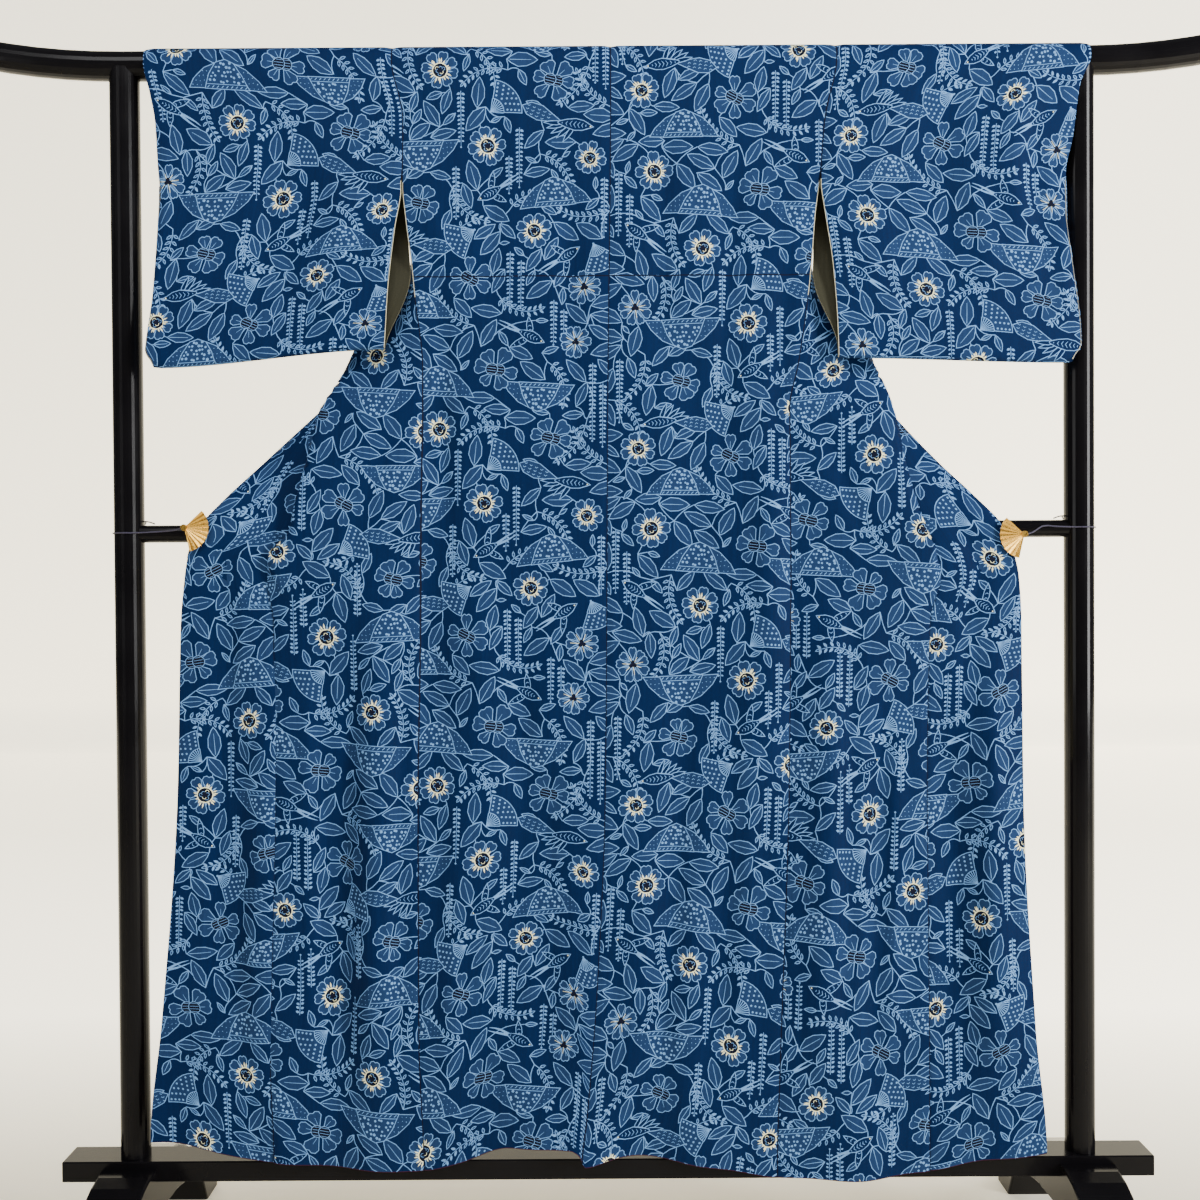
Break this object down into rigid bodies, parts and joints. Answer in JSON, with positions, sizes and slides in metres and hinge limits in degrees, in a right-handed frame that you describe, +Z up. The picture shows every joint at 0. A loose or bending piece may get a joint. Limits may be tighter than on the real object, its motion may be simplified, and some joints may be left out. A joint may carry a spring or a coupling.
{
  "type": "kimono on stand",
  "caption": "Lined silk kimono with a small indigo floral print, draped over the bar of a black lacquered stand, its back to the viewer and its front edges held out by fan-shaped clips.",
  "frame": {"origin": "on the floor, in the middle between the stand's feet, straight below the middle of the top bar", "axes": "+Z up, +X along the top bar to the garment's right sleeve as worn, -Y towards the viewer, who sees the garment's back"},
  "size_m": [1.788, 0.47, 1.7098],
  "materials": {
    "indigo_silk": "matt crepe silk, indigo with a pale blue line print",
    "black_lacquer": "gloss black lacquer",
    "gold_metal": "polished gold plate",
    "dark_cord": "thin braided cord"
  },
  "bodies": {
    "root": {"body_left": "indigo_silk", "body_right": "indigo_silk", "okumi_left": "indigo_silk", "okumi_right": "indigo_silk", "sleeve_left": "indigo_silk", "sleeve_right": "indigo_silk", "collar": "indigo_silk", "top_rod": "black_lacquer", "post_left": "black_lacquer", "post_right": "black_lacquer", "mid_rail": "black_lacquer", "base_beam": "black_lacquer", "foot_left": "black_lacquer", "foot_right": "black_lacquer", "clip_left": "gold_metal", "clip_right": "gold_metal", "clip_cord_left": "dark_cord", "clip_cord_right": "dark_cord"}
  },
  "joints": []
}
